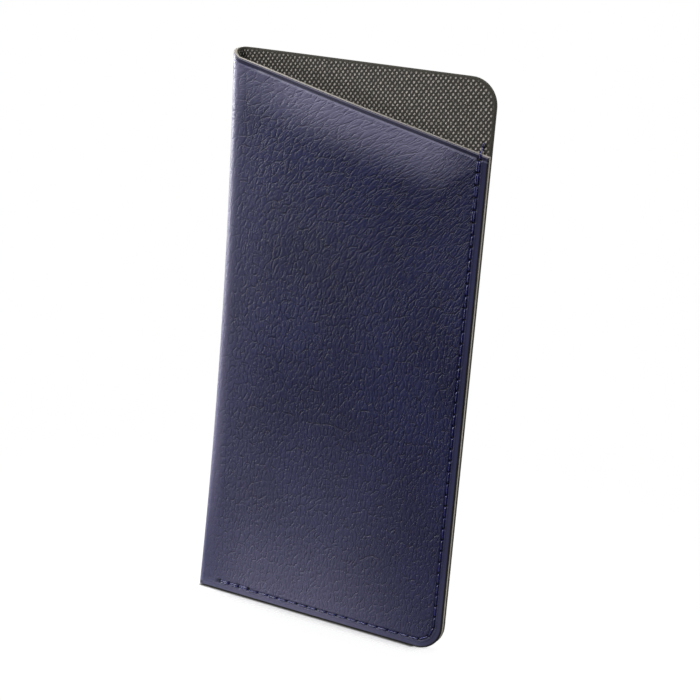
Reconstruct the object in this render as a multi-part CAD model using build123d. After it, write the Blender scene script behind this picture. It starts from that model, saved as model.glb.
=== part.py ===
from build123d import *
import math
import os

# A long wallet: an open-topped sleeve made from one glued blank of three sheets.
# The blank is folded once along the left side and sewn through along the right
# side and the bottom. The front leaf's top is cut on a diagonal, and the back leaf
# is full height. The sleeve stands upright: +Z is up and the front faces -Y. Sizes
# are taken from the plane halfway between the two sewn leaves. The finished sleeve
# is then moved in Y, which puts the origin at the bottom centre of its overall box.

# overall size, with the leaves flat (mm)
width = 95.0
height = 190.0
corner_radius = 9.0

# the three sheets, from outside to inside, and the space between the sewn leaves
cover_thickness = 0.4
interlining_thickness = 0.7
lining_thickness = 0.3
leaf_clearance = 0.06

# the fold, which springs open above the sewn bottom, as half of the inside gap
bottom_fold_gap = 0.2
middle_fold_gap = 2.4
top_fold_gap = 2.0
fold_bow = 2.7
front_swell = 2.0

# the front leaf's diagonal top edge
rim_dip = 3.1
diagonal_drop = 20.7

# the row of lockstitches
seam_margin = 3.0
seam_start = 9.0
stitch_length = 3.9
edge_hole_rise = 2.0
thread_diameter = 0.55
thread_clearance = 0.03
top_backtack = 5
bottom_backtack = 3
tail_length = 1.6

laminate = cover_thickness + interlining_thickness + lining_thickness
seam_x = width / 2 - seam_margin
thread_radius = thread_diameter / 2
leg_offset = thread_radius + thread_clearance
hole_radius = leg_offset + thread_radius + thread_clearance
thread_bend = leg_offset + thread_clearance
backtack_offset = thread_diameter + 2 * thread_clearance
trim_allowance = 2.0
reach = 4 * laminate + 4 * middle_fold_gap + fold_bow


def fold_gap(z):
    """Half of the inside gap at the fold: a parabola through its bottom, middle and top values."""
    s = z / height
    return (
        bottom_fold_gap * (1 - s) * (1 - 2 * s)
        + middle_fold_gap * 4 * s * (1 - s)
        + top_fold_gap * s * (2 * s - 1)
    )


def bow(z):
    """How far the fold bows to the back between its two ends."""
    s = z / height
    return fold_bow * 4 * s * (1 - s)


def swell(z):
    """How far the middle of the front leaf swells forward, most at the mouth."""
    return front_swell * (z / height) ** 2


def fold_axis_x(z):
    """The centre of the fold's round. A wider round draws the fold in, because the blank doesn't stretch."""
    drawn_in = (math.pi / 2 - 1) * (fold_gap(z) - bottom_fold_gap)
    return -width / 2 + drawn_in + laminate + leaf_clearance / 2 + fold_gap(z)


def leaf_share(x, z):
    """0 at the sewn line and 1 at the fold's round."""
    share = (seam_x - x) / (seam_x - fold_axis_x(z))
    return min(max(share, 0.0), 1.0)


def front_gap(x, z):
    """How far the front leaf stands forward of where it is sewn."""
    u = leaf_share(x, z)
    opening = (fold_gap(z) - bow(z)) * u**2 * (3 - 2 * u)
    return opening + swell(z) * 16 * u**2 * (1 - u) ** 2


def back_gap(x, z):
    """How far the back leaf stands behind where it is sewn."""
    u = leaf_share(x, z)
    return (fold_gap(z) + bow(z)) * u**2 * (3 - 2 * u)


def leaf_curve(start, end, z, lift):
    """One leaf's curve from the sewn line to the fold, level with both at its ends. lift is its swell."""
    (x0, y0), (x1, y1) = start, end
    heights = [y0, y0, (y0 + y1) / 2 + lift * 8 / 3, y1, y1]
    last = len(heights) - 1
    return Bezier(*[(x0 + (x1 - x0) * k / last, y, z) for k, y in enumerate(heights)])


def section(z, skin):
    """The closed outline, at height z, of everything inside a surface skin mm out from the pocket."""
    offset = leaf_clearance / 2 + skin
    axis_x, axis_y = fold_axis_x(z), bow(z)
    radius = fold_gap(z) + offset
    edge_x = width / 2
    front = leaf_curve((seam_x, -offset), (axis_x, axis_y - radius), z, -swell(z))
    fold = ThreePointArc(
        (axis_x, axis_y - radius, z), (axis_x - radius, axis_y, z), (axis_x, axis_y + radius, z)
    )
    back = leaf_curve((seam_x, offset), (axis_x, axis_y + radius), z, 0)
    return Wire(
        [
            Line((edge_x, -offset, z), (seam_x, -offset, z)).edge(),
            front.edge(),
            fold.edge(),
            back.edge(),
            Line((seam_x, offset, z), (edge_x, offset, z)).edge(),
            Line((edge_x, offset, z), (edge_x, -offset, z)).edge(),
        ]
    )


def body_within(skin):
    """The solid inside a surface skin mm out from the pocket, over the whole height and a little more."""
    levels = [height * k / 4 for k in range(4)] + [height + trim_allowance]
    return Solid.make_loft([section(z, skin) for z in levels])


def diagonal_z(x):
    """The height of the front leaf's cut edge."""
    start_x = fold_axis_x(height)
    slope = diagonal_drop / (width / 2 - start_x)
    return height - rim_dip - slope * (x - start_x)


def front_top_cutter():
    """Removes the front leaf above its diagonal edge."""
    start_x, end_x = fold_axis_x(height), width / 2 + trim_allowance
    top_z = height + 2 * trim_allowance
    outline = Polyline(
        (start_x, 0, diagonal_z(start_x)),
        (end_x, 0, diagonal_z(end_x)),
        (end_x, 0, top_z),
        (start_x, 0, top_z),
        close=True,
    )
    return Solid.extrude(Face(Wire(outline.edges())), Vector(0, -reach, 0))


def rim_line(radius):
    """A line round the fold, radius mm from its axis, falling from the full height to the front edge."""
    steps = 12
    points = []
    for k in range(steps + 1):
        turn = math.pi * k / steps
        fall = rim_dip * (k / steps) ** 2
        points.append(
            (
                fold_axis_x(height) - radius * math.sin(turn),
                bow(height) + radius * math.cos(turn),
                height - fall,
            )
        )
    return Spline(*points).edge()


def rim_cutter():
    """Removes what stands above the cut edge where it runs round the fold."""
    inner, outer = rim_line(top_fold_gap / 4), rim_line(reach)
    ruled = Face.make_surface_from_curves(inner, outer)
    return Solid.extrude(ruled, Vector(0, 0, 2 * trim_allowance + rim_dip))


def back_top_cutter():
    """Removes the back leaf above the full height."""
    start_x, end_x = fold_axis_x(height), width / 2 + trim_allowance
    length = end_x - start_x
    return Pos(start_x + length / 2, reach / 2, height + trim_allowance) * Box(
        length, reach, 2 * trim_allowance
    )


def corner_cutter(corner_z, inward):
    """Rounds the right corner at corner_z. inward is +1 at the bottom and -1 at the top."""
    centre = (width / 2 - corner_radius, corner_z + inward * corner_radius)
    size = corner_radius + trim_allowance
    block = Pos(centre[0] + size / 2, 0, centre[1] - inward * size / 2) * Box(size, 2 * reach, size)
    round_off = Pos(centre[0], 0, centre[1]) * Rot(90, 0, 0) * Cylinder(corner_radius, 2 * reach)
    return block - round_off


def seam_line():
    """The line that the needle follows, from above the front leaf's edge to the bottom's far end."""
    turn_radius = corner_radius - seam_margin
    turn_x, turn_z = seam_x - turn_radius, seam_margin + turn_radius
    middle = math.sqrt(0.5) * turn_radius
    return Wire(
        [
            Line((seam_x, 0, diagonal_z(seam_x) + edge_hole_rise), (seam_x, 0, turn_z)).edge(),
            ThreePointArc(
                (seam_x, 0, turn_z),
                (turn_x + middle, 0, turn_z - middle),
                (turn_x, 0, seam_margin),
            ).edge(),
            Line((turn_x, 0, seam_margin), (-width / 2 + seam_start, 0, seam_margin)).edge(),
        ]
    )


def needle_holes():
    """Each hole's place on the seam line, evenly spaced."""
    line = seam_line()
    count = round(line.length / stitch_length)
    return [line.position_at(k / count) for k in range(count + 1)]


def backtack_pairs(holes):
    """The stitches that are sewn twice, at both ends, as pairs of holes moved over by a thread."""
    into_sleeve = Vector(-backtack_offset, 0, 0)
    up_sleeve = Vector(0, 0, backtack_offset)
    top = [(a + into_sleeve, b + into_sleeve) for a, b in zip(holes[1:], holes[2:])][:top_backtack]
    low = [(a + up_sleeve, b + up_sleeve) for a, b in zip(holes, holes[1:])][-bottom_backtack:]
    return top + low


def hole_cutters(holes):
    """Round needle holes through both leaves, joined where they overlap. The first is in the back leaf alone."""
    places = {(round(p.X, 3), round(p.Z, 3)) for pair in backtack_pairs(holes) for p in pair}
    places |= {(round(p.X, 3), round(p.Z, 3)) for p in holes}
    cylinders = [
        Pos(x, 0, z) * Rot(90, 0, 0) * Cylinder(hole_radius, 2 * reach)
        for x, z in sorted(places)
    ]
    return Part() + cylinders


def thread_along(points, bend):
    """Thread laid along points, bent round at each corner."""
    path = FilletPolyline(*points, radius=bend)
    start = Plane(origin=path @ 0, z_dir=path % 0)
    return sweep(start * Circle(thread_radius), path=path).solid()


def lock_y(place):
    """Where the two threads lock, halfway through both leaves, or the back one above the front's edge."""
    if place.Z > diagonal_z(place.X):
        return leaf_clearance / 2 + laminate / 2
    return (back_gap(place.X, place.Z) - front_gap(place.X, place.Z)) / 2


def thread_y(place, side):
    """The centre of thread lying on a leaf. side is -1 on the front and +1 on the back."""
    gap = front_gap(place.X, place.Z) if side < 0 else back_gap(place.X, place.Z)
    return side * (leaf_clearance / 2 + laminate + gap + thread_radius + thread_clearance)


def stitch(first, second, side):
    """One stitch: up from the lock, along the leaf and down to the next lock."""
    along = (second - first).normalized() * leg_offset
    a, b = first + along, second - along
    points = [
        Vector(a.X, lock_y(first), a.Z),
        Vector(a.X, thread_y(first, side), a.Z),
        Vector(b.X, thread_y(second, side), b.Z),
        Vector(b.X, lock_y(second), b.Z),
    ]
    return thread_along(points, thread_bend)


def edge_stitch(first, second):
    """The top stitch on the front, which climbs from the back leaf over the front leaf's cut edge."""
    along = (second - first).normalized() * leg_offset
    a, b = first + along, second - along
    over_z = diagonal_z(seam_x) + leg_offset + thread_radius
    outer_y = thread_y(second, -1)
    low_y = leaf_clearance / 2 - thread_radius - thread_clearance
    points = [
        Vector(a.X, lock_y(first), a.Z),
        Vector(a.X, low_y - thread_diameter, a.Z),
        Vector(a.X, outer_y, over_z),
        Vector(b.X, outer_y, b.Z),
        Vector(b.X, lock_y(second), b.Z),
    ]
    return thread_along(points, thread_radius)


def thread_tail(first):
    """The cut end of the needle thread, standing up from the top hole over the lining."""
    low_y = leaf_clearance / 2 - thread_radius - thread_clearance
    foot = Vector(first.X, low_y, first.Z)
    tip = foot + Vector(tail_length / 3, -tail_length / 3, tail_length)
    return Solid.make_cylinder(thread_radius, (tip - foot).length, Plane(foot, z_dir=tip - foot))


def needle_thread(holes):
    """The thread seen on the front."""
    plain = [stitch(a, b, -1) for a, b in zip(holes[1:], holes[2:])]
    doubled = [stitch(a, b, -1) for a, b in backtack_pairs(holes)]
    return [edge_stitch(holes[0], holes[1]), thread_tail(holes[0])] + plain + doubled


def bobbin_thread(holes):
    """The thread seen on the back."""
    plain = [stitch(a, b, 1) for a, b in zip(holes, holes[1:])]
    doubled = [stitch(a, b, 1) for a, b in backtack_pairs(holes)]
    return plain + doubled


def trimmed(sheet, holes):
    """A folded sheet cut to the blank's outline and pierced along the seam."""
    cutters = [
        back_top_cutter(),
        front_top_cutter(),
        rim_cutter(),
        corner_cutter(0, 1),
        Pos(0, reach, 0) * corner_cutter(height, -1),
    ]
    for cutter in cutters:
        sheet = sheet - cutter
    return sheet - hole_cutters(holes)


def depth_centre():
    """The middle of the overall depth, which the fold's bow puts behind the plane of the seam."""
    levels = [height * k / 40 for k in range(41)]
    across = [width * (k / 40 - 0.5) for k in range(41)]
    back = max(fold_gap(z) + bow(z) for z in levels)
    front = max(front_gap(x, z) for z in levels for x in across if z < diagonal_z(x))
    return (back - front) / 2


def build():
    """Every sub-part of the sleeve, by node name."""
    holes = needle_holes()
    pocket = body_within(0)
    in_lining = body_within(lining_thickness)
    in_interlining = body_within(lining_thickness + interlining_thickness)
    in_cover = body_within(laminate)
    return {
        "outer_cover": trimmed(in_cover - in_interlining, holes),
        "interlining": trimmed(in_interlining - in_lining, holes),
        "lining": trimmed(in_lining - pocket, holes),
        "needle_thread": Compound(needle_thread(holes)),
        "bobbin_thread": Compound(bobbin_thread(holes)),
    }


os.makedirs("parts", exist_ok=True)
for node, shape in build().items():
    export_step(Pos(0, -depth_centre(), 0) * shape, f"parts/{node}.step")
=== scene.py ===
import math
import bmesh
import bpy
import numpy as np
from mathutils import Matrix, Vector


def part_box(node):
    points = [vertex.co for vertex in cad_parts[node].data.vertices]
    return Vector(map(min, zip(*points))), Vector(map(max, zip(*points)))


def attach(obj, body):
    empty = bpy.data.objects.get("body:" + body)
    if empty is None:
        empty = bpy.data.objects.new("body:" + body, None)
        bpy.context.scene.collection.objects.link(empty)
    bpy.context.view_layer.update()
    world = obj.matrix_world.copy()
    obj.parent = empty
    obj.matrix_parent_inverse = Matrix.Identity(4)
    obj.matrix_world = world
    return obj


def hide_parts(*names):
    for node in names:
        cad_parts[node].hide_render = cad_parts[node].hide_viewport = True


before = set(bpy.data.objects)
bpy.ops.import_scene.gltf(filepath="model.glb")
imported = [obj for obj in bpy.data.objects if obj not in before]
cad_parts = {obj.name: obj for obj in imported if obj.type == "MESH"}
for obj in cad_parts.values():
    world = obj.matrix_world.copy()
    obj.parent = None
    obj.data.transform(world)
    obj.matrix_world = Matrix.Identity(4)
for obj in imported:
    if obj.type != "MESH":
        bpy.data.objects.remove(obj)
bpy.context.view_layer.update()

# ---- Outer cover -----------------------------------------------------------------------
# The navy skin is pebble-grained synthetic leather on a pale backing cloth. It is glued to
# the board and the lining as one blank, which is folded once along the left side and sewn
# along the right side and the bottom.

# The blank's shape, the same for all three sheets: flat at the seam, sprung open at the
# fold, and bowed to the back between the fold's two ends.
mm = 0.001
cover_low, cover_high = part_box("outer_cover")
width = cover_high.x - cover_low.x
height = cover_high.z - cover_low.z
cover_thickness, interlining_thickness, lining_thickness = 0.4 * mm, 0.7 * mm, 0.3 * mm
laminate = cover_thickness + interlining_thickness + lining_thickness
leaf_clearance = 0.06 * mm
corner_radius = 9 * mm
bottom_fold_gap, middle_fold_gap, top_fold_gap = 0.2 * mm, 2.4 * mm, 2.0 * mm
fold_bow = 2.7 * mm
front_swell = 2.0 * mm
mouth_curl, curl_reach = 0.6 * mm, 4 * mm
curl_by_seam, curl_by_fold = 0.35, 0.2
rim_dip = 3.1 * mm
diagonal_drop = 20.7 * mm
seam_margin = 3 * mm
seam_start = 9 * mm
stitch_length = 3.9 * mm
edge_hole_rise = 2 * mm
seam_x = width / 2 - seam_margin
sewn_start = seam_start - width / 2
turn_radius = corner_radius - seam_margin
turn_x, turn_z = seam_x - turn_radius, seam_margin + turn_radius


def fold_gap(z):
    """Half of the inside gap at the fold."""
    s = z / height
    low, middle, top = bottom_fold_gap, middle_fold_gap, top_fold_gap
    return low * (1 - s) * (1 - 2 * s) + middle * 4 * s * (1 - s) + top * s * (2 * s - 1)


def bow(z):
    """How far the fold bows to the back."""
    return fold_bow * 4 * (z / height) * (1 - z / height)


def fold_axis_x(z):
    """The centre of the fold's round."""
    drawn_in = (math.pi / 2 - 1) * (fold_gap(z) - bottom_fold_gap)
    return -width / 2 + drawn_in + laminate + leaf_clearance / 2 + fold_gap(z)


seam_y = cover_high.y - laminate - leaf_clearance / 2 - max(
    fold_gap(z) + bow(z) for z in np.linspace(0, height, 191)
)


def leaf_gap(x, z, side):
    """How far a leaf stands from where it is sewn. side is -1 for the front and 1 for the back.

    The front leaf also swells towards the mouth, and its cut edge curls back a little.
    """
    u = np.clip((seam_x - x) / (seam_x - fold_axis_x(z)), 0, 1)
    opening = (fold_gap(z) + side * bow(z)) * u**2 * (3 - 2 * u)
    if side > 0:
        return opening
    swell = front_swell * (z / height) ** 2 * 16 * u**2 * (1 - u) ** 2
    below_edge = np.clip(diagonal_z(x) - z, 0, height)
    held = np.clip(u / curl_by_seam, 0, 1) * np.clip((1 - u) / curl_by_fold, 0, 1)
    return opening + swell - mouth_curl * np.exp(-below_edge / curl_reach) * held


def foot(x):
    """The height of the blank's bottom edge, which rounds up at the right."""
    past = np.clip(x - (width / 2 - corner_radius), 0, corner_radius)
    return corner_radius - np.sqrt(corner_radius**2 - past**2)


diagonal_slope = diagonal_drop / (width / 2 - fold_axis_x(height))
square_to_diagonal = math.cos(math.atan(diagonal_slope))


def diagonal_z(x):
    """The height of the front leaf's cut edge."""
    return height - rim_dip - diagonal_slope * (x - fold_axis_x(height))


def leaf_top(x, side):
    return diagonal_z(x) if side < 0 else height - foot(x)


def from_cut(x, z, side):
    """The distance in from the nearest raw edge of a leaf."""
    level = square_to_diagonal * (diagonal_z(x) - z) if side < 0 else height - z
    inside = np.minimum(np.minimum(width / 2 - x, z), level)
    past_x = x - (width / 2 - corner_radius)
    for from_end in (z,) if side < 0 else (z, height - z):
        past_z = corner_radius - from_end
        rounded = corner_radius - np.hypot(past_x, past_z)
        inside = np.where((past_x > 0) & (past_z > 0), rounded, inside)
    return inside


def from_seam(x, z):
    """The distance from the row of stitches: straight down the side, round the corner, along the bottom."""
    round_corner = np.abs(np.hypot(x - turn_x, z - turn_z) - turn_radius)
    straight = np.where(x < turn_x, np.abs(z - seam_margin), np.abs(x - seam_x))
    return np.where((x > turn_x) & (z < turn_z), round_corner, straight)


def seam_places():
    """Each needle hole's place (x, z), evenly spaced from above the diagonal round to the bottom."""
    top_z = diagonal_z(seam_x) + edge_hole_rise
    down, arc = top_z - turn_z, turn_radius * math.pi / 2
    total = down + arc + turn_x - sewn_start
    count = round(total / stitch_length)
    places = []
    for s in np.linspace(0, total, count + 1):
        if s < down:
            places.append((seam_x, top_z - s))
        elif s < down + arc:
            turn = (s - down) / turn_radius
            places.append((turn_x + turn_radius * math.cos(turn), turn_z - turn_radius * math.sin(turn)))
        else:
            places.append((turn_x - (s - down - arc), seam_margin))
    return np.array(places)


holes = seam_places()
backtack_offset = 0.61 * mm
top_backtack, bottom_backtack = 5, 3
top_doubles = list(zip(holes[1:], holes[2:]))[:top_backtack]
low_doubles = list(zip(holes, holes[1:]))[-bottom_backtack:]
doubled = [(a - (backtack_offset, 0), b - (backtack_offset, 0)) for a, b in top_doubles]
doubled += [(a + (0, backtack_offset), b + (0, backtack_offset)) for a, b in low_doubles]
all_holes = np.unique(np.round(np.vstack([holes] + [np.array(pair) for pair in doubled]), 7), axis=0)
hole_radius, hole_edge, hole_reach = 0.5 * mm, 0.06 * mm, 1.2 * mm


def pit_depth(x, z):
    """1 inside each needle hole, and 0 from a little way off."""
    nearest = np.full(x.shape, 1.0)
    for hole_x, hole_z in all_holes:
        near = (np.abs(x - hole_x) < hole_reach) & (np.abs(z - hole_z) < hole_reach)
        nearest[near] = np.minimum(nearest[near], np.hypot(x[near] - hole_x, z[near] - hole_z))
    return 1 / (1 + np.exp(np.clip((nearest - hole_radius) / hole_edge, -30, 30)))


# The mesh's stations, close together at the cut edges, the crease, the seam and the holes.
kept_zone = 5.5 * mm
growth = 0.35
least_step = 0.03 * mm


def fit(stations, length, start, end):
    """Moves stations on 0..length to start..end. Both end zones keep their spacing."""
    middle = start + kept_zone + (stations - kept_zone) * (end - start - 2 * kept_zone) / (
        length - 2 * kept_zone
    )
    low, high = start + stations, end - (length - stations)
    return np.where(stations < kept_zone, low, np.where(stations > length - kept_zone, high, middle))


def graded(length, places, coarse):
    """Stations from 0 to length, close together near each (place, reach, step)."""
    stations = [0.0]
    while stations[-1] < length - least_step:
        here = stations[-1]
        steps = [step + growth * max(abs(here - place) - reach, 0) for place, reach, step in places]
        stations.append(here + min([coarse] + steps))
    return np.array(stations[:-1] + [length])


blank_reach = width / 2 - fold_axis_x(0)


def column_x(columns, z):
    """How far right each column of stations is at height z."""
    return width / 2 - fit(columns, blank_reach, 0, width / 2 - fold_axis_x(z))


def leaf_places(rows, columns, side):
    """The x and z of every crossing of the rows and columns on one leaf."""
    foot_z, top_z = np.zeros(columns.shape), np.full(columns.shape, height)
    # The columns lean with the fold, so their ends settle in a few rounds.
    for _ in range(6):
        foot_z = foot(column_x(columns, foot_z))
        top_z = leaf_top(column_x(columns, top_z), side)
    z = fit(rows[:, None], height, foot_z[None], top_z[None])
    return column_x(columns[None], z), z


def leaf_points(x, z, side, skin):
    """Points on a leaf, skin out from the pocket."""
    return np.stack([x, seam_y + side * (leaf_clearance / 2 + skin + leaf_gap(x, z, side)), z], -1)


def fold_points(turn, z, skin):
    """Points round the fold. turn is 0 at the back leaf and pi at the front leaf."""
    radius = fold_gap(z) + leaf_clearance / 2 + skin
    return np.stack(
        [fold_axis_x(z) - radius * np.sin(turn), seam_y + bow(z) + radius * np.cos(turn), z], -1
    )


def grid_faces(shape, rows, columns, split):
    """Faces over the kept rows and columns.

    A cell in split is divided at every station, and its neighbours' sides take the same points.
    """
    faces = []
    last_row, last_column = len(rows) - 2, len(columns) - 2
    for a in range(len(rows) - 1):
        for b in range(len(columns) - 1):
            low, high, left, right = rows[a], rows[a + 1], columns[b], columns[b + 1]
            if split[a, b]:
                faces += [
                    [(i, j), (i, j + 1), (i + 1, j + 1), (i + 1, j)]
                    for i in range(low, high)
                    for j in range(left, right)
                ]
                continue
            stop = right if a and split[a - 1, b] else left + 1
            ring = [(low, j) for j in range(left, stop)]
            stop = high if b < last_column and split[a, b + 1] else low + 1
            ring += [(i, right) for i in range(low, stop)]
            stop = left if a < last_row and split[a + 1, b] else right - 1
            ring += [(high, j) for j in range(right, stop, -1)]
            stop = low if b and split[a, b - 1] else high - 1
            ring += [(i, left) for i in range(high, stop, -1)]
            faces.append(ring)
    return [[i * shape[1] + j for i, j in face] for face in faces]


def smooth_mesh(name, points, faces, maps):
    """A mesh object with its named surface maps: pairs become UV maps, and single values attributes."""
    used = np.unique(np.concatenate([np.array(face) for face in faces]))
    renumber = np.zeros(len(points), int)
    renumber[used] = np.arange(len(used))
    mesh = bpy.data.meshes.new(name)
    mesh.from_pydata(points[used].tolist(), [], [renumber[face].tolist() for face in faces])
    corners = np.zeros(len(mesh.loops), int)
    mesh.loops.foreach_get("vertex_index", corners)
    for title, values in maps.items():
        values = values[used]
        if values.ndim == 2:
            mesh.uv_layers.new(name=title).data.foreach_set("uv", values[corners].ravel())
        else:
            mesh.attributes.new(title, "FLOAT", "POINT").data.foreach_set("value", values)
    mesh.polygons.foreach_set("use_smooth", [True] * len(mesh.polygons))
    mesh.validate()
    piece = bpy.data.objects.new(name, mesh)
    bpy.context.collection.objects.link(piece)
    return piece


weld_distance = 0.004 * mm
fold_steps = 18
groove_reach = 1.2 * mm


def folded_sheet(name, skins, drop, rows, columns, fine=None, lean=None):
    """One sheet of the blank as a closed mesh between two skins.

    drop says how far a surface sinks at its edges and seam, fine gives the outer surface's rows
    and columns on each side, and lean gives its grain map.
    """
    points, faces, maps = [], [], {"blank": [], "grain": [], "cut": [], "seam": [], "pit": [], "rim": []}
    turns = np.linspace(math.pi, 0, fold_steps + 1)
    joint_z = leaf_places(rows[-1:], columns[-1:], -1)[1][0, 0]
    first = 0
    cut_edges = []

    def add(xyz, flat, cut, seam, pit, rim, cells):
        nonlocal first
        points.append(xyz.reshape(-1, 3))
        flat = flat.reshape(-1, 2)
        maps["blank"].append(flat / mm)
        maps["grain"].append((lean(flat) if lean else flat) / mm)
        for title, values in (("cut", cut), ("seam", seam)):
            maps[title].append(values.ravel() / mm)
        maps["pit"].append(pit.ravel())
        maps["rim"].append(rim.ravel())
        faces.extend([[first + k for k in cell] for cell in cells])
        first += cut.size

    def note_edges(index, sides):
        """Keeps the run of points along each cut side of a patch, for the walls between the two surfaces."""
        runs = {"foot": index[0], "top": index[-1], "edge": index[:, 0]}
        cut_edges.append([runs[side] for side in sides])

    for k, skin in enumerate(skins):
        outer = k == 1
        for side in (-1, 1):
            own_rows, own_columns = fine[side] if outer and fine else (rows, columns)
            kept_rows = np.searchsorted(own_rows, rows)
            kept_columns = np.searchsorted(own_columns, columns)
            x, z = leaf_places(own_rows, own_columns, side)
            cut, seam = from_cut(x, z, side), from_seam(x, z)
            seam = seam + np.clip(sewn_start - 0.5 * mm - x, 0, 1)
            middle_x, middle_z = leaf_places(
                (rows[1:] + rows[:-1]) / 2, (columns[1:] + columns[:-1]) / 2, side
            )
            # The cells that take every station lie along the seam, clear of the cut edges.
            split = from_seam(middle_x, middle_z) < groove_reach
            split &= (middle_x > sewn_start - 1.5 * mm) & (middle_z < holes[0][1] + 1 * mm)
            split &= from_cut(middle_x, middle_z, side) > 0.3 * mm
            index = first + np.arange(x.size).reshape(x.shape)[np.ix_(kept_rows, kept_columns)]
            note_edges(index, ("foot", "top", "edge"))
            if not outer:
                split[:] = False
            across = side * (x - fold_axis_x(z) + math.pi / 2 * (fold_gap(z) + laminate))
            sunk = skin + (-1 if outer else 1) * drop(x, z, side, cut, outer)
            cells = grid_faces(x.shape, kept_rows, kept_columns, split)
            # rim is 1 where the nearest cut edge is the front's diagonal, and 0 elsewhere.
            slope_cut = square_to_diagonal * (diagonal_z(x) - z)
            rim = np.where((slope_cut <= cut + 0.02 * mm) & (side < 0), 1.0, 0.0)
            add(
                leaf_points(x, z, side, sunk),
                np.stack([across, z], -1),
                cut,
                seam,
                pit_depth(x, z),
                rim,
                cells if outer == (side < 0) else [cell[::-1] for cell in cells],
            )
        turn, row = np.meshgrid(turns, rows)
        top_z = height - (height - joint_z) * (turn / math.pi) ** 2
        z = fit(row, height, 0, top_z)
        cut = np.minimum(z, top_z - z)
        seam = np.full(z.shape, 1.0)
        across = (math.pi / 2 - turn) * (fold_gap(z) + laminate)
        sunk = skin + (-1 if outer else 1) * drop(fold_axis_x(z) + 0 * z, z, 0, cut, outer)
        note_edges(first + np.arange(z.size).reshape(z.shape), ("foot", "top"))
        no_split = np.zeros(z.shape, bool)
        cells = grid_faces(z.shape, range(len(rows)), range(len(turns)), no_split)
        add(
            fold_points(turn, z, sunk),
            np.stack([across, z], -1),
            cut,
            seam,
            np.zeros(cut.shape),
            np.clip(turn / math.pi * 3 - 1, 0, 1),
            cells if outer else [cell[::-1] for cell in cells],
        )
    patches = len(cut_edges) // 2
    for inner_runs, outer_runs in zip(cut_edges[:patches], cut_edges[patches:]):
        for inner, outer in zip(inner_runs, outer_runs):
            faces += [list(cell) for cell in zip(inner, inner[1:], outer[1:], outer)]
    points = np.concatenate(points)
    maps = {title: np.concatenate(values) for title, values in maps.items()}
    piece = smooth_mesh(name, points, faces, maps)
    work = bmesh.new()
    work.from_mesh(piece.data)
    bmesh.ops.remove_doubles(work, verts=work.verts, dist=weld_distance)
    bmesh.ops.recalc_face_normals(work, faces=work.faces)
    work.to_mesh(piece.data)
    work.free()
    return piece


# The cover's own relief: cutting rolls its edge over, a hot crease with a raised lip runs
# along the diagonal, and the stitches pull it down into a groove with a dent at each hole.
edge_roll = 0.36 * mm
crease_inset, crease_depth, crease_width = 1.5 * mm, 0.17 * mm, 0.17 * mm
lip_inset, lip_height, lip_width = 2.05 * mm, 0.09 * mm, 0.3 * mm
crease_start, crease_fade = 4 * mm, 9 * mm
groove_depth, groove_width, groove_lead = 0.17 * mm, 0.42 * mm, 0.6 * mm
hole_depth, deepest_dent = 0.27 * mm, 0.36 * mm
dent_reach, least_gap = 0.42 * mm, 0.05 * mm
coarse_step = 1.6 * mm
edge_zone = (0.1 * mm, 0.07 * mm)
crease_zone = (0.3 * mm, 0.12 * mm)
seam_zone = (0.7 * mm, 0.17 * mm)
edge_zones = [(0, *edge_zone), (crease_inset, *crease_zone), (seam_margin, *seam_zone)]
far_zones = [(height, *edge_zone), (height - crease_inset, *crease_zone)]
sheet_rows = graded(height, edge_zones + far_zones, coarse_step)
sheet_columns = graded(blank_reach, edge_zones, coarse_step)


def with_extra(stations, centres):
    """stations plus seven close together at each centre, leaving out any that nearly meet another."""
    offsets = dent_reach * np.linspace(-1.3, 1.3, 7)
    extra = np.sort((np.array(centres)[:, None] + offsets).ravel())
    extra = extra[np.concatenate([[True], np.diff(extra) > least_gap])]
    near = np.abs(extra[:, None] - stations[None]).min(axis=1)
    return np.sort(np.concatenate([stations, extra[near > least_gap]]))


def hole_stations(side):
    """The row and column stations that cross at each needle hole on a leaf."""
    row_marks, column_marks = [], []
    trial = np.linspace(0, height, 4001)
    for x, z in all_holes:
        if z > leaf_top(x, side) - 0.3 * mm:
            continue
        row_marks.append(np.interp(z, fit(trial, height, foot(x), leaf_top(x, side)), trial))
        reach = np.linspace(0, blank_reach, 2001)
        inset = fit(reach, blank_reach, 0, width / 2 - fold_axis_x(z))
        column_marks.append(np.interp(width / 2 - x, inset, reach))
    return row_marks, column_marks


fine_stations = {}
for side in (-1, 1):
    row_marks, column_marks = hole_stations(side)
    fine_stations[side] = with_extra(sheet_rows, row_marks), with_extra(sheet_columns, column_marks)


def cover_drop(x, z, side, cut, outer):
    """How far the cover's skin sinks: its rolled edge, the crease, the seam's groove and its holes."""
    if not outer:
        return np.zeros(cut.shape)
    over = np.clip(edge_roll - cut, 0, edge_roll)
    sunk = edge_roll - np.sqrt(edge_roll**2 - over**2)
    if side < 0:
        slope_cut = square_to_diagonal * (diagonal_z(x) - z)
        fade = np.clip((x - fold_axis_x(height) - crease_start) / crease_fade, 0, 1)
        sunk = sunk + crease_depth * fade * np.exp(-(((slope_cut - crease_inset) / crease_width) ** 2))
        sunk = sunk - lip_height * fade * np.exp(-(((slope_cut - lip_inset) / lip_width) ** 2))
    if side == 0:
        return sunk
    sewn = (x > sewn_start - groove_lead) & (z < leaf_top(x, side)) & (z < holes[0][1] + 0.5 * mm)
    groove = groove_depth * np.exp(-((from_seam(x, z) / groove_width) ** 2))
    return np.minimum(sunk + np.where(sewn, groove, 0) + hole_depth * pit_depth(x, z), deepest_dent)


lean_height, lean_length = 92 * mm, 195 * mm
lean_offset, lean_width, most_lean = 12 * mm, 70 * mm, 1.3


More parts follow.
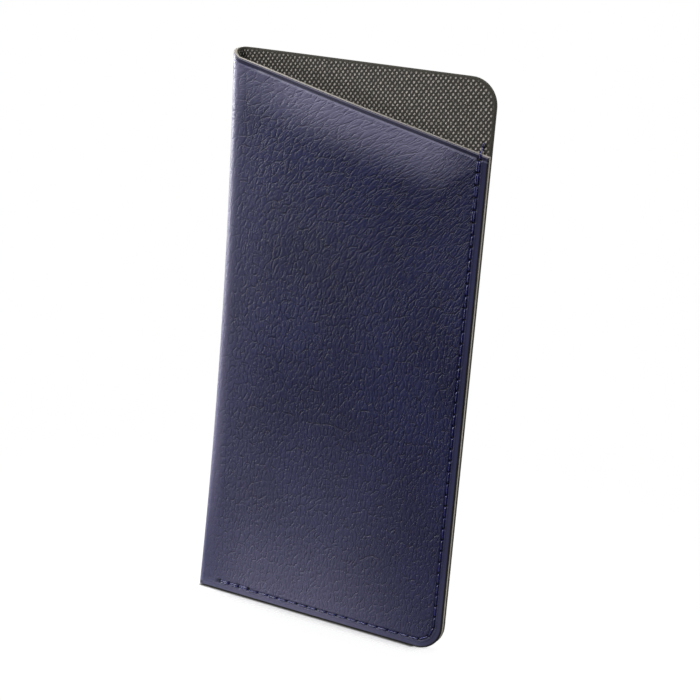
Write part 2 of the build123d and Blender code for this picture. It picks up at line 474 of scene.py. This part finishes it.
def leather_lean(flat):
    """The grain's own map. Its creases run up the sleeve and lean over towards the top right corner."""
    across, up = flat[:, 0], flat[:, 1]
    past = np.clip(up - lean_height, 0, None)
    rightness = np.clip((np.abs(across) + lean_offset) / lean_width, 0, most_lean)
    return np.stack([across - np.sign(across) * rightness * past**2 / lean_length, up], -1)


outer_cover = folded_sheet(
    "outer_cover_skin",
    (lining_thickness + interlining_thickness, laminate),
    cover_drop,
    sheet_rows,
    sheet_columns,
    fine_stations,
    leather_lean,
)


class Wire:
    """A socket in a material's nodes, or just the nodes. Sums on values add Math nodes."""

    def __init__(self, tree, socket=None):
        self.tree, self.socket = tree, socket

    def node(self, kind, settings, inputs, out=0):
        """Adds a node with its settings, then its sockets' values or links, and gives one of its outputs."""
        made = self.tree.nodes.new(kind)
        for name, value in settings.items():
            setattr(made, name, value)
        for name, value in inputs.items():
            if isinstance(value, Wire):
                self.tree.links.new(value.socket, made.inputs[name])
            else:
                made.inputs[name].default_value = value
        return Wire(self.tree, made.outputs[out])

    def maths(self, operation, a, b=0.0):
        return self.node("ShaderNodeMath", {"operation": operation}, {0: a, 1: b})

    def vectors(self, operation, a, b=(0, 0, 0), out=0):
        return self.node("ShaderNodeVectorMath", {"operation": operation}, {0: a, 1: b}, out)

    def axis(self, number):
        """One number of the vector here: 0 for across, 1 for up."""
        return self.node("ShaderNodeSeparateXYZ", {}, {0: self}, number)

    def __add__(self, other):
        return self.maths("ADD", self, other)

    __radd__ = __add__

    def __sub__(self, other):
        return self.maths("SUBTRACT", self, other)

    def __rsub__(self, other):
        return self.maths("SUBTRACT", other, self)

    def __mul__(self, other):
        return self.maths("MULTIPLY", self, other)

    __rmul__ = __mul__

    def ease(self, low, high, start=0.0, end=1.0):
        """start below low, end above high, and smooth between."""
        return self.node(
            "ShaderNodeMapRange",
            {"interpolation_type": "SMOOTHSTEP"},
            {"Value": self, "From Min": low, "From Max": high, "To Min": start, "To Max": end},
        )

    def blend(self, below, above):
        """The colour below where this is 0, and above where it is 1."""
        return self.node("ShaderNodeMix", {"data_type": "RGBA"}, {0: self, 6: below, 7: above}, out=2)


def finish(name, **fixed):
    """A material, its nodes and its shader. fixed sets the sockets that are the same all over."""
    material = bpy.data.materials.new(name)
    material.use_nodes = True
    shader = material.node_tree.nodes["Principled BSDF"]
    for socket, value in fixed.items():
        shader.inputs[socket.replace("_", " ")].default_value = value
    return material, Wire(material.node_tree), shader


def connect(shader, **varying):
    """Links what changes over the surface to the shader's sockets."""
    for socket, wire in varying.items():
        wire.tree.links.new(wire.socket, shader.inputs[socket.replace("_", " ")])


def surface_map(nodes, title):
    return nodes.node("ShaderNodeUVMap", {"uv_map": title}, {})


def surface_value(nodes, title):
    return nodes.node("ShaderNodeAttribute", {"attribute_name": title}, {}, out=2)


def noise(nodes, place, scale, detail=2.0, roughness=0.5, dimensions="2D", out=0):
    return nodes.node(
        "ShaderNodeTexNoise",
        {"noise_dimensions": dimensions},
        {"Vector": place, "Scale": scale, "Detail": detail, "Roughness": roughness},
        out,
    )


def shifted(nodes, place, scale, amount):
    """place pushed about by a noise, so that regular patterns wander."""
    centred = nodes.vectors("SUBTRACT", noise(nodes, place, scale, out=1), (0.5, 0.5, 0.5))
    return nodes.vectors("ADD", place, nodes.vectors("MULTIPLY", centred, (amount, amount, amount)))


def stretched(nodes, place, across, up, turn=0.0):
    """place turned and scaled, so that a pattern on it is drawn out."""
    return nodes.node(
        "ShaderNodeMapping", {}, {"Vector": place, "Rotation": (0, 0, turn), "Scale": (across, up, 1)}
    )


def cell_edges(nodes, place, scale, randomness=1.0):
    """The distance to the nearest border of a cell pattern."""
    return nodes.node(
        "ShaderNodeTexVoronoi",
        {"voronoi_dimensions": "2D", "feature": "DISTANCE_TO_EDGE"},
        {"Vector": place, "Scale": scale, "Randomness": randomness},
    )


def bump(nodes, relief, depth, below=None):
    """A normal with relief on it, over the normal below if there is one."""
    under = {"Normal": below} if below else {}
    return nodes.node("ShaderNodeBump", {}, {"Strength": 1.0, "Distance": depth, "Height": relief, **under})


# Most of these colours paint light and shade: shade in creases, gaps, holes and at the edges, a sheen, and a
# highlight on the rolled shoulder. The first two and the backing are the leather's and the cloth's own
# colours.
navy = (0.0110, 0.0125, 0.056, 1)
navy_light = (0.017, 0.0195, 0.078, 1)
navy_painted_shade = (0.005, 0.005, 0.022, 1)
navy_sheen = (0.145, 0.14, 0.23, 1)
hole_painted_shade = (0.001, 0.001, 0.004, 1)
edge_painted_shade = (0.014, 0.0135, 0.012, 1)
backing = (0.36, 0.33, 0.31, 1)
lip = (0.19, 0.18, 0.24, 1)

# The maps are in millimetres: blank is the flat blank with the fold at 0, and cut and seam
# are the distances from the nearest cut edge and from the stitches.
leather, nodes, shader = finish("navy_pebble_leather", IOR=1.45, Specular_IOR_Level=0.4)
blank = surface_map(nodes, "blank")
grain = surface_map(nodes, "grain")
cut, seam, pit, rim = (surface_value(nodes, title) for title in ("cut", "seam", "pit", "rim"))
from_fold, up_sleeve = nodes.maths("ABSOLUTE", blank.axis(0)), blank.axis(1)

# The grain: long and short pebbles with creases between them, calmer at the fold and seam.
wandering = shifted(nodes, shifted(nodes, grain, 0.12, 2.0), 0.9, 0.6)
long_cells = cell_edges(nodes, stretched(nodes, wandering, 0.58, 0.26), 1.0, 0.95)
trembling = shifted(nodes, grain, 1.1, 0.5)
short_cells = cell_edges(nodes, stretched(nodes, trembling, 1.05, 0.50, 0.15), 1.0)
long_patches = noise(nodes, grain, 0.28, 1.0).ease(0.36, 0.6, 0.2, 1.0)
short_patches = noise(nodes, grain, 0.4, 1.0).ease(0.34, 0.56, 0.2, 1.0)
crease_line = long_cells.ease(0.0, 0.12, 1.0, 0.0) * long_patches
pebble_line = short_cells.ease(0.0, 0.16, 1.0, 0.0) * short_patches
fine_cells = cell_edges(nodes, shifted(nodes, grain, 1.6, 0.4), 1.7)
flat_band = cut.ease(1.6, 2.6)
calm = from_fold.ease(1.0, 13.0, 0.25, 1.0)
grained = flat_band * calm * seam.ease(0.3, 1.1, 0.35, 1.0)
skin = noise(nodes, blank, 0.035, 3.0).ease(0.3, 0.7).blend(navy, navy_light)
# Painted shade: the grain's creases and the pebbles' outlines are painted darker.
skin = (crease_line * grained * 0.75).blend(skin, navy_painted_shade)
skin = (pebble_line * grained * 0.35).blend(skin, navy_painted_shade)

# Painted highlight and sheen: the leather is painted paler along the fold, below the mouth and
# towards the bottom.
fold_highlight = from_fold.ease(1.5, 9.0, 0.9, 0.0) * up_sleeve.ease(5.0, 60.0, 0.1, 1.0)
fold_highlight = fold_highlight + from_fold.ease(0.0, 30.0, 0.2, 0.0)
mouth = cut.ease(1.9, 20.0, 1.1, 0.0) * rim
mouth = mouth * from_fold.ease(72.0, 92.0, 1.0, 0.2) * from_fold.ease(2.0, 38.0, 0.25, 1.0)
hem = up_sleeve.ease(0.0, 90.0, 0.42, 0.0) + up_sleeve.ease(0.0, 35.0, 0.3, 0.0)
hem = hem * from_fold.ease(45.0, 95.0, 1.0, 0.25) * from_fold.ease(0.0, 26.0, 0.2, 1.0)
skin = (fold_highlight + mouth + hem).blend(skin, navy_sheen)

# The seamed edges have a flat pressed band, painted a little paler with the sheen colour, and
# painted shade at their rolled edge. The diagonal has painted shade in its crease and in a thin
# line by its rolled skin, painted highlights on the crease's lip and on the rolled shoulder, and
# the backing showing at its cut.
# The flat pressed band by the seam is painted a little paler with the sheen colour.
skin = (cut.ease(2.0, 2.9, 0.15, 0.0) * (1 - rim)).blend(skin, navy_sheen)
# Painted shade in the diagonal's crease.
skin = (cut.ease(1.55, 1.8, 1.0, 0.0) * rim * 0.75).blend(skin, navy_painted_shade)
# Painted shade on the rolled seamed edges, where they turn from the light and meet the floor.
skin = (cut.ease(0.45, 0.75, 1.0, 0.0) * (1 - rim)).blend(skin, edge_painted_shade)
# Painted highlight on the crease's raised lip.
skin = (cut.ease(1.75, 1.95) * cut.ease(2.05, 2.35, 1.0, 0.0) * rim * 0.55).blend(skin, navy_sheen)
# Painted highlight: the rolled shoulder of the skin along the diagonal is painted pale lilac.
rolled_shoulder = cut.ease(0.45, 0.65, 1.0, 0.0) * rim
skin = rolled_shoulder.blend(skin, lip)
# Painted shade in the thin gap between the rolled shoulder and the backing.
skin = (cut.ease(0.3, 0.36, 1.0, 0.0) * rim * 0.9).blend(skin, navy_painted_shade)
skin = (cut.ease(0.13, 0.2, 1.0, 0.0) * rim).blend(skin, backing)
# Painted shade inside the needle holes.
skin = pit.blend(skin, hole_painted_shade)

# The relief: pebbles and creases stand in the bump, finer than the mesh carries.
pebbles = (
    (1 - crease_line) * 0.5
    + long_cells.ease(0.0, 0.45) * 0.22
    + (1 - pebble_line) * 0.28
    + short_cells.ease(0.0, 0.4) * 0.12
    + fine_cells.ease(0.0, 0.35) * 0.06
) * grained
pores = noise(nodes, blank, 5.0, 3.0, 0.6)
pebble_depth, pore_depth = 0.23 * mm, 0.012 * mm
connect(
    shader,
    Base_Color=skin,
    Roughness=0.36 + pores * 0.1 + crease_line * grained * 0.15 + rolled_shoulder * 0.25 - (1 - flat_band) * 0.04,
    Normal=bump(nodes, pores, pore_depth, bump(nodes, pebbles, pebble_depth)),
)
outer_cover.data.materials.append(leather)
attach(outer_cover, "root")
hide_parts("outer_cover")

# ---- Interlining -----------------------------------------------------------------------
# A pale bonded-fibre board is glued between the cover and the lining to stiffen them. It
# shows only at the cut edges, pale on the front leaf and painted dark on the back as painted shade.
soft_edge, soft_reach = 0.05 * mm, 0.08 * mm


def board_drop(x, z, side, cut, outer):
    """The cut board is very slightly softened at its edges."""
    return soft_edge * np.exp(-cut / soft_reach)


interlining = folded_sheet(
    "interlining_board",
    (lining_thickness, lining_thickness + interlining_thickness),
    board_drop,
    sheet_rows,
    sheet_columns,
)


def object_place(nodes):
    """The place on the object itself, in metres."""
    return nodes.node("ShaderNodeTexCoord", {}, {}, out=3)


pale_board = (0.40, 0.375, 0.33, 1)
board_shade = (0.20, 0.185, 0.15, 1)
board_back_shade = (0.035, 0.033, 0.024, 1)
board, nodes, shader = finish("pale_fibre_board", IOR=1.4)
fibres = noise(nodes, object_place(nodes), 2600.0, 3.0, dimensions="3D")
patches = noise(nodes, object_place(nodes), 160.0, dimensions="3D")
on_back = surface_map(nodes, "blank").axis(0).ease(4.0, 9.0)
pulp = (fibres * 0.4 + patches.ease(0.35, 0.65) * 0.3).blend(pale_board, board_shade)
fibre_depth = 0.04 * mm
# The back leaf's board is painted dark: painted shade on the edge that faces away from the light.
connect(
    shader,
    Base_Color=on_back.blend(pulp, board_back_shade),
    Roughness=fibres.ease(0.2, 0.8, 0.8, 0.95),
    Normal=bump(nodes, fibres, fibre_depth),
)
interlining.data.materials.append(board)
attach(interlining, "root")
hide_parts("interlining")

# ---- Lining ----------------------------------------------------------------------------
# Dark charcoal lining cloth is coated and embossed with small raised nubs in diagonal
# rows. It is glued to the board and cut with it, and a smooth, darker band runs along
# its raw edge where cutting has pressed the nubs flat.
pressed_edge, pressed_reach = 0.12 * mm, 0.16 * mm


def lining_drop(x, z, side, cut, outer):
    """The face in the pocket is pressed down at its cut edges."""
    if outer:
        return np.zeros(cut.shape)
    return pressed_edge * np.exp(-((np.clip(cut, 0, None) / pressed_reach) ** 2))


lining = folded_sheet(
    "lining_cloth",
    (0, lining_thickness),
    lining_drop,
    sheet_rows,
    sheet_columns,
)
charcoal = (0.014, 0.013, 0.0095, 1)
nub_highlight = (0.54, 0.50, 0.45, 1)
olive_band = (0.028, 0.026, 0.017, 1)
cloth, nodes, shader = finish("charcoal_embossed_lining", IOR=1.45, Specular_IOR_Level=0.3)
blank = surface_map(nodes, "blank")
cut = surface_value(nodes, "cut")
nub_pitch, nub_spacing = 1.2, 0.85
nub_angle = math.radians(38)
woven = shifted(nodes, blank, 0.7, 0.5)
turned = stretched(nodes, woven, 1 / nub_pitch, nub_spacing / nub_pitch, nub_angle)
wave_across, wave_along = (
    nodes.maths("SINE", turned.axis(number) * (2 * math.pi)) * 0.5 + 0.5 for number in (0, 1)
)
nub = (wave_across * (wave_along * 0.8 + 0.2)).ease(0.16, 0.8)
nub = nub * cut.ease(0.5, 1.3) * noise(nodes, blank, 0.9, 1.0).ease(0.25, 0.6, 0.45, 1.0)
threads = noise(nodes, blank, 6.0, 2.0)
ground = cut.ease(0.5, 1.4).blend(olive_band, charcoal)
front_edge = cut.ease(0.0, 0.05, 1.0, 0.0) * blank.axis(0).ease(-9.0, -4.0, 1.0, 0.0)
# Painted highlight: the raised nubs' tops are painted pale.
face = (nub * 0.85 + threads * 0.1).blend(ground, nub_highlight)
nub_depth, weave_depth = 0.22 * mm, 0.02 * mm
connect(
    shader,
    Base_Color=front_edge.blend(face, pale_board),
    Roughness=0.55 + threads * 0.15,
    Normal=bump(nodes, threads, weave_depth, bump(nodes, nub, nub_depth)),
)
lining.data.materials.append(cloth)
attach(lining, "root")
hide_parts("lining")

# ---- Thread ----------------------------------------------------------------------------
# Blue three-ply polyester thread, sewn in one row of lockstitches. Each stitch comes up
# out of a hole, lies along the leather in its groove, and dives into the next hole. The
# row is sewn twice over for a few stitches at both ends.
thread_radius = 0.275 * mm
plies, ply_depth, twist_pitch = 3, 0.12, 1.7 * mm
ring_points = 12


def laid_thread(path, normals, binormals, roll):
    """Points and faces of three-ply thread along a path."""
    path, normals, binormals = (np.array(rows) for rows in (path, normals, binormals))
    run = np.concatenate([[0], np.cumsum(np.linalg.norm(np.diff(path, axis=0), axis=1))])
    angle = np.linspace(0, 2 * math.pi, ring_points, endpoint=False)
    ply = plies * (angle[None] - 2 * math.pi * run[:, None] / twist_pitch) + roll
    radius = thread_radius * (0.9 + ply_depth * np.cos(ply))
    ring = radius[..., None] * (
        np.cos(angle)[None, :, None] * normals[:, None] + np.sin(angle)[None, :, None] * binormals[:, None]
    )
    points = (path[:, None] + ring).reshape(-1, 3)
    count = len(path)
    faces = [
        [
            k * ring_points + j,
            k * ring_points + (j + 1) % ring_points,
            (k + 1) * ring_points + (j + 1) % ring_points,
            (k + 1) * ring_points + j,
        ]
        for k in range(count - 1)
        for j in range(ring_points)
    ]
    faces.append(list(range(ring_points))[::-1])
    faces.append([(count - 1) * ring_points + j for j in range(ring_points)])
    return points, faces


first_inset, last_inset = 0.25 * mm, 0.55 * mm
stitch_bend, stitch_depth = 0.5 * mm, 0.7 * mm
stitch_sag = 0.05 * mm
stitch_lift, lift_spread, side_spread = 0.1 * mm, 0.03 * mm, 0.02 * mm


def stitch_path(first, second, side, rng):
    """One stitch's centre line, with the directions across it, from hole to hole."""
    run = second - first
    length = math.hypot(*run)
    across, up = run / length
    low_end, high_end = first_inset, length - last_inset
    lift = stitch_lift + lift_spread * rng.standard_normal()
    turns = np.linspace(0, math.pi / 2, 6)
    rounds = [
        (stitch_bend * (1 - math.cos(turn)), stitch_bend * (math.sin(turn) - 1), turn) for turn in turns
    ]
    stations = [(low_end, -stitch_depth, 0.0)]
    stations += [(low_end + along, rise, turn) for along, rise, turn in rounds]
    stations += [
        (along, 0.0, math.pi / 2)
        for along in np.linspace(low_end + stitch_bend, high_end - stitch_bend, 14)[1:-1]
    ]
    stations += [(high_end - along, rise, math.pi - turn) for along, rise, turn in rounds[::-1]]
    stations.append((high_end, -stitch_depth, math.pi))
    path, normals, binormals = [], [], []
    sideways = side_spread * rng.standard_normal()
    for along, rise, turn in stations:
        x, z = first + (across * along, up * along)
        x, z = x + sideways * up, z - sideways * across
        sag = stitch_sag * (1 - ((2 * along / length) - 1) ** 2)
        y = leaf_clearance / 2 + laminate + float(leaf_gap(x, z, side)) + lift + rise - sag
        path.append((x, seam_y + side * y, z))
        tangent = np.array([across * math.sin(turn), side * math.cos(turn), up * math.sin(turn)])
        binormal = np.array([up, 0, -across])
        normals.append(np.cross(binormal, tangent))
        binormals.append(binormal)
    return path, normals, binormals


def sewn(name, pairs, side, extras, seed):
    """All of a thread's stitches on one leaf, as one piece."""
    rng = np.random.default_rng(seed)
    points, faces, first = [], [], 0
    runs = [stitch_path(a, b, side, rng) for a, b in pairs] + extras
    for path, normals, binormals in runs:
        more, cells = laid_thread(path, normals, binormals, rng.uniform(0, 6))
        points.append(more)
        faces += [[first + k for k in cell] for cell in cells]
        first += len(more)
    return smooth_mesh(name, np.concatenate(points), faces, {})


def free_path(corners, steps):
    """A smooth path through corners, with two directions across it at every point."""
    curve = bpy.data.curves.new("route", "CURVE")
    curve.dimensions = "3D"
    curve.resolution_u = steps
    line = curve.splines.new("NURBS")
    line.points.add(len(corners) - 1)
    for point, corner in zip(line.points, corners):
        point.co = (*corner, 1)
    line.order_u = 3
    line.use_endpoint_u = True
    route = bpy.data.objects.new("route", curve)
    bpy.context.collection.objects.link(route)
    read = bpy.data.meshes.new_from_object(route)
    path = np.array([vertex.co for vertex in read.vertices])
    bpy.data.objects.remove(route)
    bpy.data.curves.remove(curve)
    bpy.data.meshes.remove(read)
    tangents = np.gradient(path, axis=0)
    tangents /= np.linalg.norm(tangents, axis=1)[:, None]
    across = np.cross(tangents, (1.0, 0.05, 0.0))
    across /= np.linalg.norm(across, axis=1)[:, None]
    return path, across, np.cross(tangents, across)


# At the top the needle thread comes forward out of the back leaf, crosses the front leaf's
# cut edge and goes down into the next hole, and its cut tail stands up behind that edge.
lining_y = seam_y + leaf_clearance / 2
front_y = seam_y - leaf_clearance / 2 - laminate
edge_z = diagonal_z(seam_x)
top_x, top_z = holes[0]
next_z = holes[1][1]
over_edge = free_path(
    [
        (top_x, lining_y + 0.4 * mm, top_z),
        (top_x, lining_y - 0.15 * mm, top_z - 0.05 * mm),
        (top_x + 0.05 * mm, lining_y - 0.5 * mm, top_z - 0.7 * mm),
        (top_x, front_y + 0.25 * mm, edge_z + 0.42 * mm),
        (top_x, front_y - 0.22 * mm, edge_z + 0.2 * mm),
        (top_x, front_y - 0.14 * mm, edge_z - 0.6 * mm),
        (top_x, front_y - 0.12 * mm, next_z + 0.9 * mm),
        (top_x, front_y - 0.1 * mm, next_z + 0.45 * mm),
        (top_x, front_y + 0.1 * mm, next_z + 0.35 * mm),
        (top_x, front_y + 0.5 * mm, next_z + 0.35 * mm),
    ],
    6,
)
tail = free_path(
    [
        (top_x, lining_y + 0.3 * mm, top_z),
        (top_x + 0.05 * mm, lining_y - 0.35 * mm, top_z + 0.15 * mm),
        (top_x + 0.25 * mm, lining_y - 0.6 * mm, top_z + 0.7 * mm),
        (top_x + 0.55 * mm, lining_y - 0.75 * mm, top_z + 1.35 * mm),
    ],
    8,
)
doubled_up = [(b, a) for a, b in doubled]
front_pairs = [(b, a) for a, b in zip(holes[1:], holes[2:])] + doubled_up
back_pairs = [(b, a) for a, b in zip(holes, holes[1:])] + doubled_up
needle_thread = sewn("needle_thread_stitches", front_pairs, -1, [over_edge, tail], 11)
bobbin_thread = sewn("bobbin_thread_stitches", back_pairs, 1, [], 12)

thread_blue = (0.018, 0.019, 0.17, 1)
thread_shade = (0.006, 0.006, 0.06, 1)
fuzz_depth = 0.015 * mm
for piece, node in ((needle_thread, "needle_thread"), (bobbin_thread, "bobbin_thread")):
    thread, nodes, shader = finish("blue_sewing_" + node, IOR=1.5, Specular_IOR_Level=1.0)
    fuzz = noise(nodes, object_place(nodes), 5200.0, 3.0, dimensions="3D")
    batch = noise(nodes, object_place(nodes), 300.0, 1.0, dimensions="3D")
    connect(
        shader,
        Base_Color=(fuzz * 0.6 + batch.ease(0.3, 0.7) * 0.3).blend(thread_blue, thread_shade),
        Roughness=fuzz.ease(0.2, 0.8, 0.22, 0.38),
        Normal=bump(nodes, fuzz, fuzz_depth),
    )
    piece.data.materials.append(thread)
    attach(piece, "root")
    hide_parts(node)

# ---- Floor, lights and camera ----------------------------------------------------------
# The sleeve stands on a plain pale floor under soft studio light. The floor has a painted
# contact shadow in a thin dark line at the sleeve's foot, and it fades out into a white surround.
floor_radius, floor_sides = 0.2, 96
turns = [2 * math.pi * k / floor_sides for k in range(floor_sides)]
rim_points = [(floor_radius * math.cos(turn), floor_radius * math.sin(turn), 0) for turn in turns]
floor_mesh = bpy.data.meshes.new("floor")
floor_mesh.from_pydata(rim_points, [], [list(range(floor_sides))])
floor = bpy.data.objects.new("floor", floor_mesh)
bpy.context.collection.objects.link(floor)
paper, nodes, shader = finish("pale_floor", Specular_IOR_Level=0.1)
place = object_place(nodes)
mottle = noise(nodes, place, 30.0, dimensions="3D")
foot_centre = (-corner_radius / 2, seam_y, 0)
foot_reach = (width / 2 - corner_radius / 2 - 1.5 * mm, laminate + leaf_clearance / 2, 0)
past_centre = nodes.vectors("ABSOLUTE", nodes.vectors("SUBTRACT", place, foot_centre))
past_foot = nodes.vectors("MAXIMUM", nodes.vectors("SUBTRACT", past_centre, foot_reach), (0, 0, 0))
beside = nodes.vectors("LENGTH", past_foot, out=1)
middle = nodes.vectors("LENGTH", place, out=1).ease(floor_radius * 0.45, floor_radius * 0.98, 1.0, 0.0)
paper_white, paper_grey, painted_contact_shadow = (0.93, 0.93, 0.93, 1), (0.90, 0.90, 0.90, 1), (0.02, 0.02, 0.01, 1)
paper_tone = mottle.blend(paper_white, paper_grey)
# The dark line beside the foot is a painted contact shadow.
connect(
    shader,
    Base_Color=beside.ease(0.1 * mm, 1.6 * mm, 0.9, 0.0).blend(paper_tone, painted_contact_shadow),
    Roughness=mottle.ease(0.0, 1.0, 0.85, 0.95),
    Alpha=beside.ease(0.8 * mm, 6 * mm, 1.0, 0.15) * middle,
)
floor.data.materials.append(paper)

world = bpy.data.worlds.new("surround")
world.use_nodes = True
bpy.context.scene.world = world
studio_dark, studio_white = (0.01, 0.01, 0.012, 1), (1.0, 1.0, 1.0, 1)
to_camera = Wire(world.node_tree).node("ShaderNodeLightPath", {}, {})
glow = world.node_tree.nodes["Background"]
world.node_tree.links.new(to_camera.blend(studio_dark, studio_white).socket, glow.inputs["Color"])
glow.inputs["Strength"].default_value = 1.0


def softbox(name, place, aim_height, size, power):
    """A rectangular light aimed at a height above the middle of the floor."""
    light = bpy.data.lights.new(name, "AREA")
    light.shape = "RECTANGLE"
    light.size, light.size_y = size
    light.energy = power
    holder = bpy.data.objects.new(name, light)
    holder.location = place
    holder.rotation_euler = (Vector((0, 0, aim_height)) - Vector(place)).to_track_quat("-Z", "Y").to_euler()
    bpy.context.collection.objects.link(holder)


softbox("overhead", (0.0, 0.35, 0.95), 0, (1.0, 0.9), 9)
softbox("side_left", (-0.95, 0.12, 0.25), 0.1, (0.4, 0.6), 12)
softbox("near_left", (-0.36, -0.12, 0.15), 0.1, (0.2, 0.3), 0.5)
softbox("low_left", (-0.17, -0.21, 0.02), 0.1, (0.1, 0.1), 0.07)
softbox("front_left", (-0.6, -0.8, 0.8), 0.1, (0.5, 0.5), 9.5)
softbox("front_fill", (0.1, -0.6, 1.0), 0.1, (0.5, 0.5), 3.0)
softbox("side_right", (0.9, 0.2, 0.3), 0.1, (0.4, 0.6), 6)

camera_data = bpy.data.cameras.new("camera")
camera_data.lens = 86.57
camera_data.sensor_width = 36
camera = bpy.data.objects.new("camera", camera_data)
camera_place = (0.2444, seam_y - 0.4795, 0.2386)
right = Vector((0.88202, 0.4646, 0.0787))
down = Vector((0.18724, -0.19231, -0.96331))
ahead = Vector((-0.43242, 0.86439, -0.25661))
turned_to = Matrix((right, -down, -ahead)).transposed().to_4x4()
camera.matrix_world = Matrix.Translation(camera_place) @ turned_to
bpy.context.collection.objects.link(camera)
bpy.context.scene.camera = camera
bpy.context.scene.view_settings.view_transform = "Standard"
